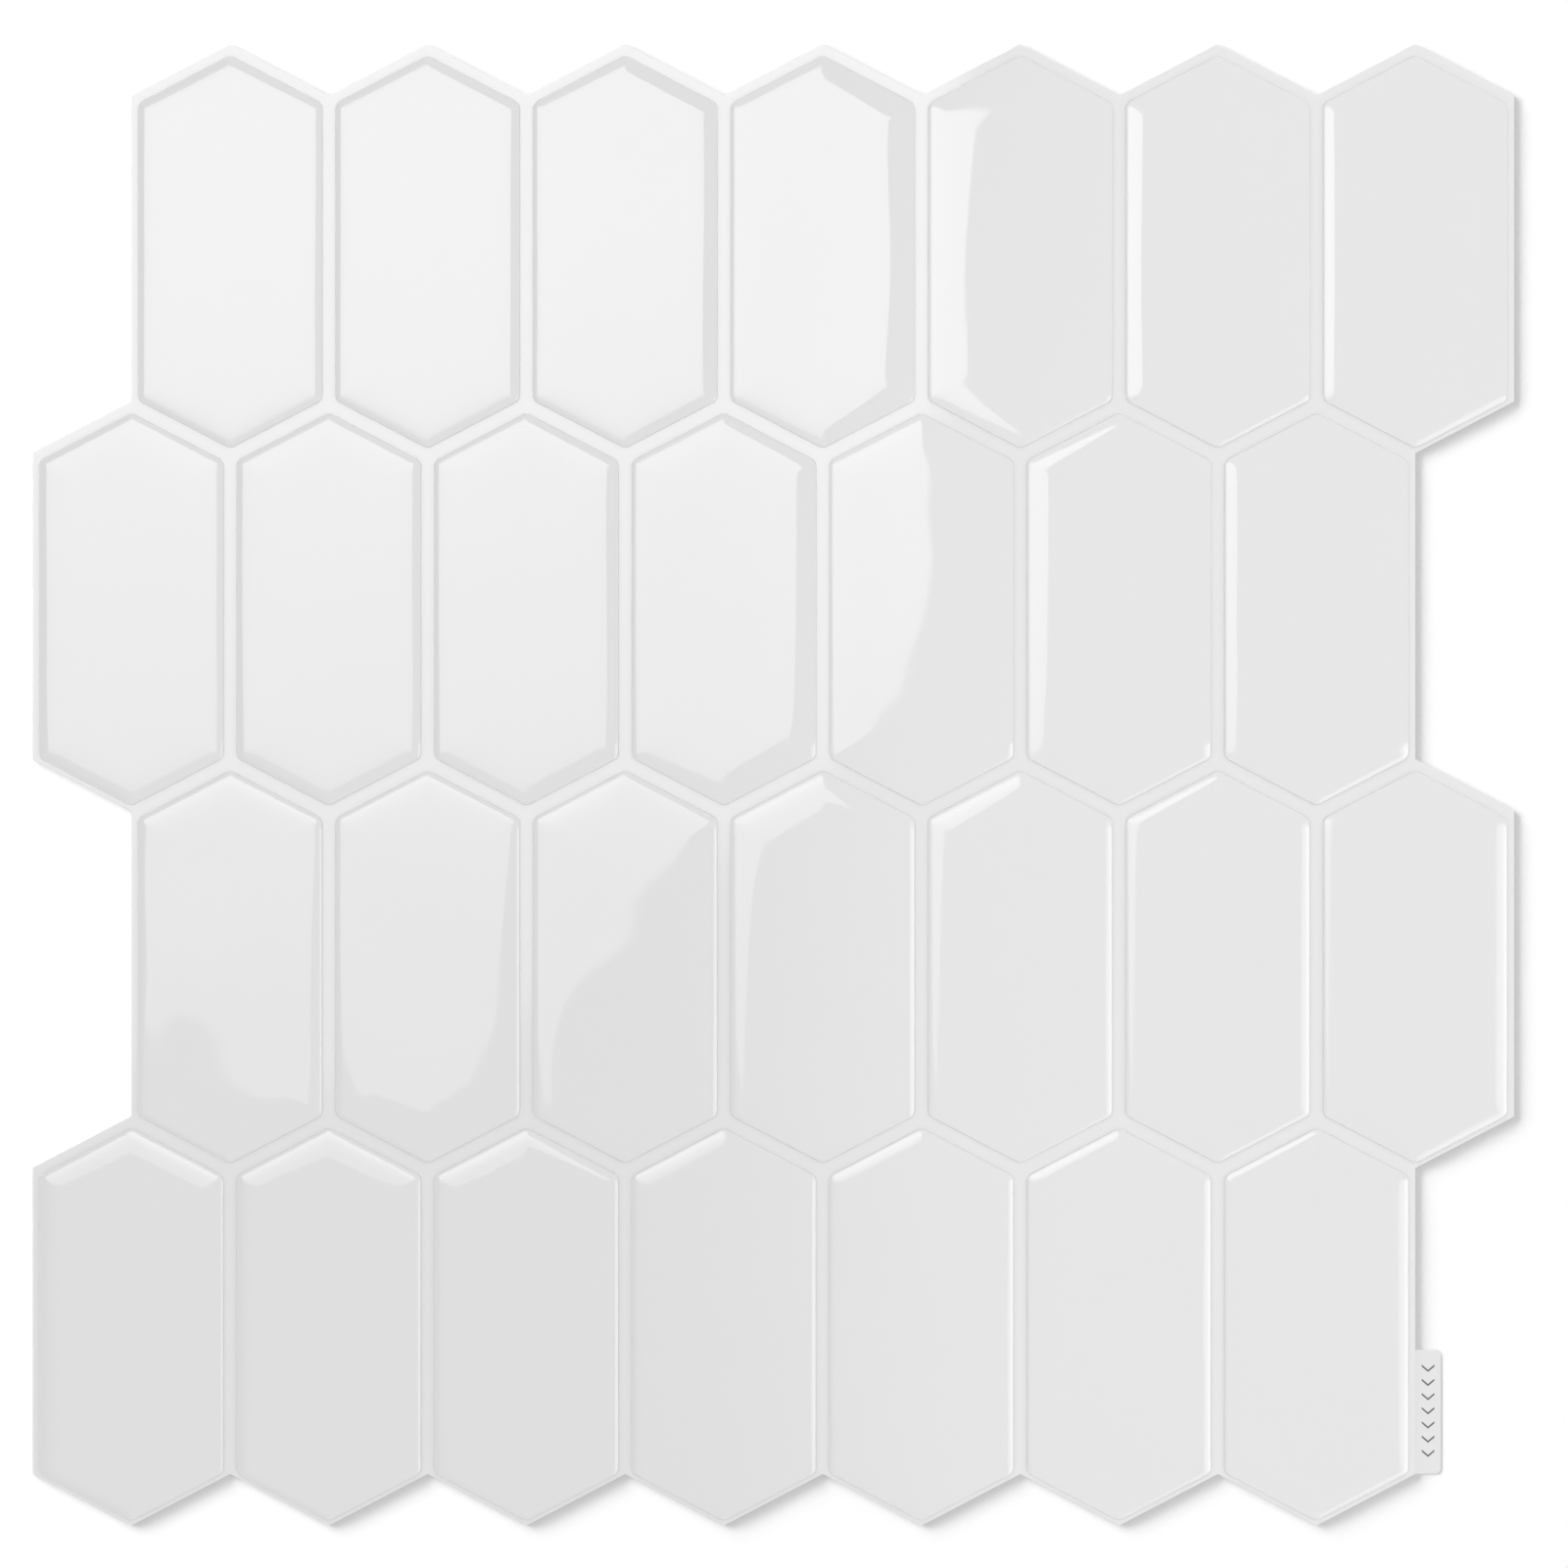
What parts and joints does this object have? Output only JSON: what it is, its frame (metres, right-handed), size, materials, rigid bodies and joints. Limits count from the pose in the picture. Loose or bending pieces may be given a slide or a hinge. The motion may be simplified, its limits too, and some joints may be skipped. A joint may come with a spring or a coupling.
{
  "type": "peel and stick backsplash tile",
  "caption": "Flat square self-adhesive wall sheet of glossy white domed picket tiles on a white film, with flat joints, stepped edges and a small pull tab.",
  "frame": {"origin": "on the back of the release liner, under the middle of the sheet's overall box", "axes": "+X to the right and +Y up the sheet as it is seen from the front, +Z out of the wall, from the liner towards the gel tiles; the pickets' points are along Y"},
  "size_m": [0.3048, 0.3048, 0.0016],
  "materials": {
    "gel": "glossy smooth white cast gel with soft rounded edges",
    "film": "white printed film with a soft satin sheen",
    "liner": "smooth white silicone-coated release paper"
  },
  "bodies": {
    "root": {"release_liner": "liner", "backing_film": "film", "gel_tile_r1_c1": "gel", "gel_tile_r1_c2": "gel", "gel_tile_r1_c3": "gel", "gel_tile_r1_c4": "gel", "gel_tile_r1_c5": "gel", "gel_tile_r1_c6": "gel", "gel_tile_r1_c7": "gel", "gel_tile_r2_c1": "gel", "gel_tile_r2_c2": "gel", "gel_tile_r2_c3": "gel", "gel_tile_r2_c4": "gel", "gel_tile_r2_c5": "gel", "gel_tile_r2_c6": "gel", "gel_tile_r2_c7": "gel", "gel_tile_r3_c1": "gel", "gel_tile_r3_c2": "gel", "gel_tile_r3_c3": "gel", "gel_tile_r3_c4": "gel", "gel_tile_r3_c5": "gel", "gel_tile_r3_c6": "gel", "gel_tile_r3_c7": "gel", "gel_tile_r4_c1": "gel", "gel_tile_r4_c2": "gel", "gel_tile_r4_c3": "gel", "gel_tile_r4_c4": "gel", "gel_tile_r4_c5": "gel", "gel_tile_r4_c6": "gel", "gel_tile_r4_c7": "gel"}
  },
  "joints": []
}
